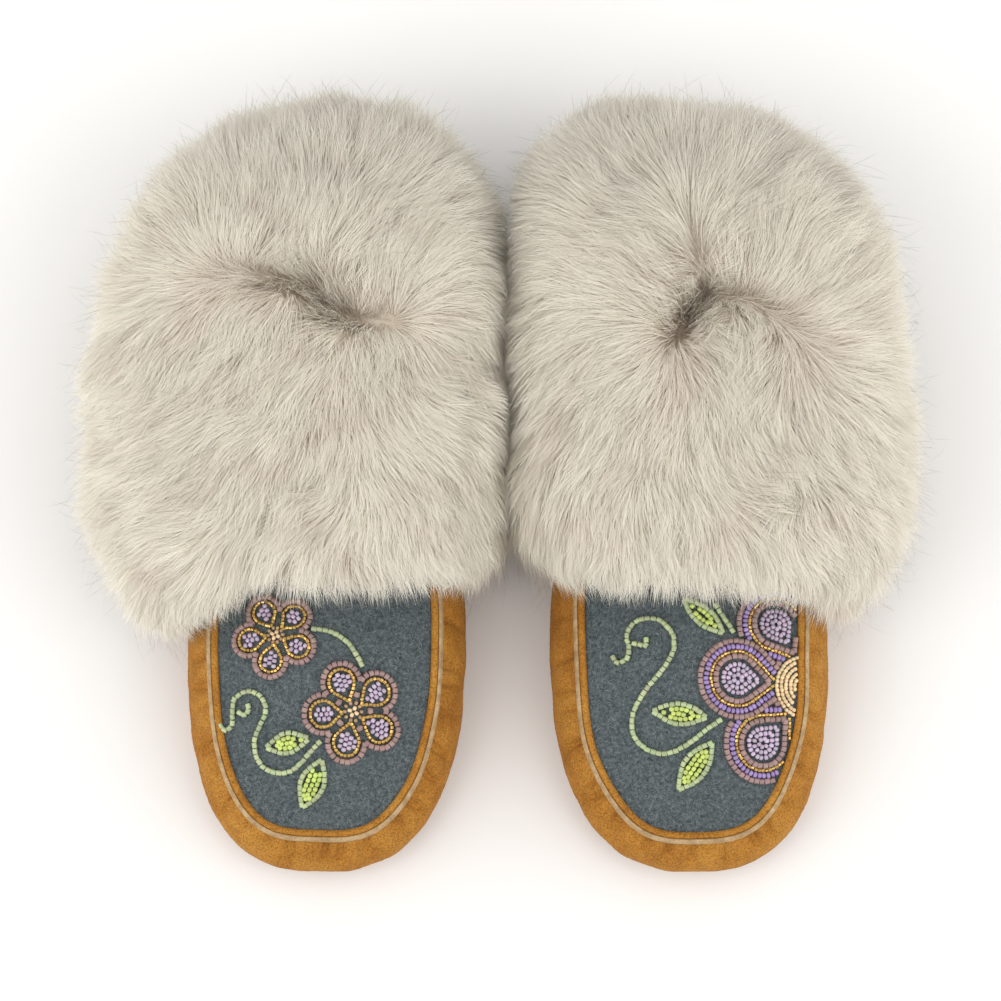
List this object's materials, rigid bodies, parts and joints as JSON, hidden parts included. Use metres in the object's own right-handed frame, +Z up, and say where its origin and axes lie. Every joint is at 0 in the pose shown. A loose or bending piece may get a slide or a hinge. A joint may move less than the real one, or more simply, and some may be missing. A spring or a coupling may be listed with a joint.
{
  "type": "house slippers",
  "caption": "Pair of soft moccasin house slippers with a suede body, a beaded wool-felt vamp, fleece lining and a deep turned-down fur cuff round the ankle.",
  "frame": {"origin": "middle of the ground under the pair: the centre of its bounding box, at the soles", "axes": "+X across the pair, from the wearer's right slipper to the left one when the toes point away along -Y; +Y from the toes to the heels; +Z up"},
  "size_m": [0.2894, 0.268, 0.097],
  "materials": {
    "sole_leather": "rough suede sole leather",
    "suede": "napped ochre suede",
    "foam": "soft insole pad",
    "fleece": "short curly fleece",
    "felt": "matt heathered wool felt",
    "backing": "plain woven backing",
    "fur": "long dense cream fur",
    "beads_mauve": "opaque mauve-brown glass beads with gold rows",
    "beads_lilac": "opaque lavender and lilac glass beads",
    "beads_ivory": "opaque cream glass beads",
    "beads_green": "pale green glass beads"
  },
  "bodies": {
    "right_slipper": {"right_outsole": "sole_leather", "right_hide_body": "suede", "right_insole_foam": "foam", "right_fleece_footbed": "fleece", "right_fleece_lining": "fleece", "right_vamp_felt": "felt", "right_vamp_backing": "backing", "right_vamp_welt": "suede", "right_heel_tab": "suede", "right_collar_band": "suede", "right_fur_front": "fur", "right_fur_back": "fur", "right_flower_low_petals": "beads_mauve", "right_flower_low_centre": "beads_ivory", "right_flower_high_petals": "beads_mauve", "right_flower_high_centre": "beads_ivory", "right_flower_stem": "beads_green", "right_vine": "beads_green", "right_vine_curl": "beads_green", "right_leaf_side": "beads_green", "right_leaf_toe": "beads_green"},
    "left_slipper": {"left_outsole": "sole_leather", "left_hide_body": "suede", "left_insole_foam": "foam", "left_fleece_footbed": "fleece", "left_fleece_lining": "fleece", "left_vamp_felt": "felt", "left_vamp_backing": "backing", "left_vamp_welt": "suede", "left_heel_tab": "suede", "left_collar_band": "suede", "left_fur_front": "fur", "left_fur_back": "fur", "left_petal_middle": "beads_lilac", "left_petal_toe": "beads_lilac", "left_petal_heel": "beads_lilac", "left_blossom_centre": "beads_ivory", "left_vine": "beads_green", "left_vine_curl": "beads_green", "left_leaf_side": "beads_green", "left_leaf_toe": "beads_green", "left_leaf_heel": "beads_green", "left_leaf_stem": "beads_green"}
  },
  "joints": [
    {"name": "left_slides_aside", "type": "slide", "parent": "right_slipper", "child": "left_slipper", "axis": [1, 0, 0], "range_m": [0, 0.12]}
  ]
}
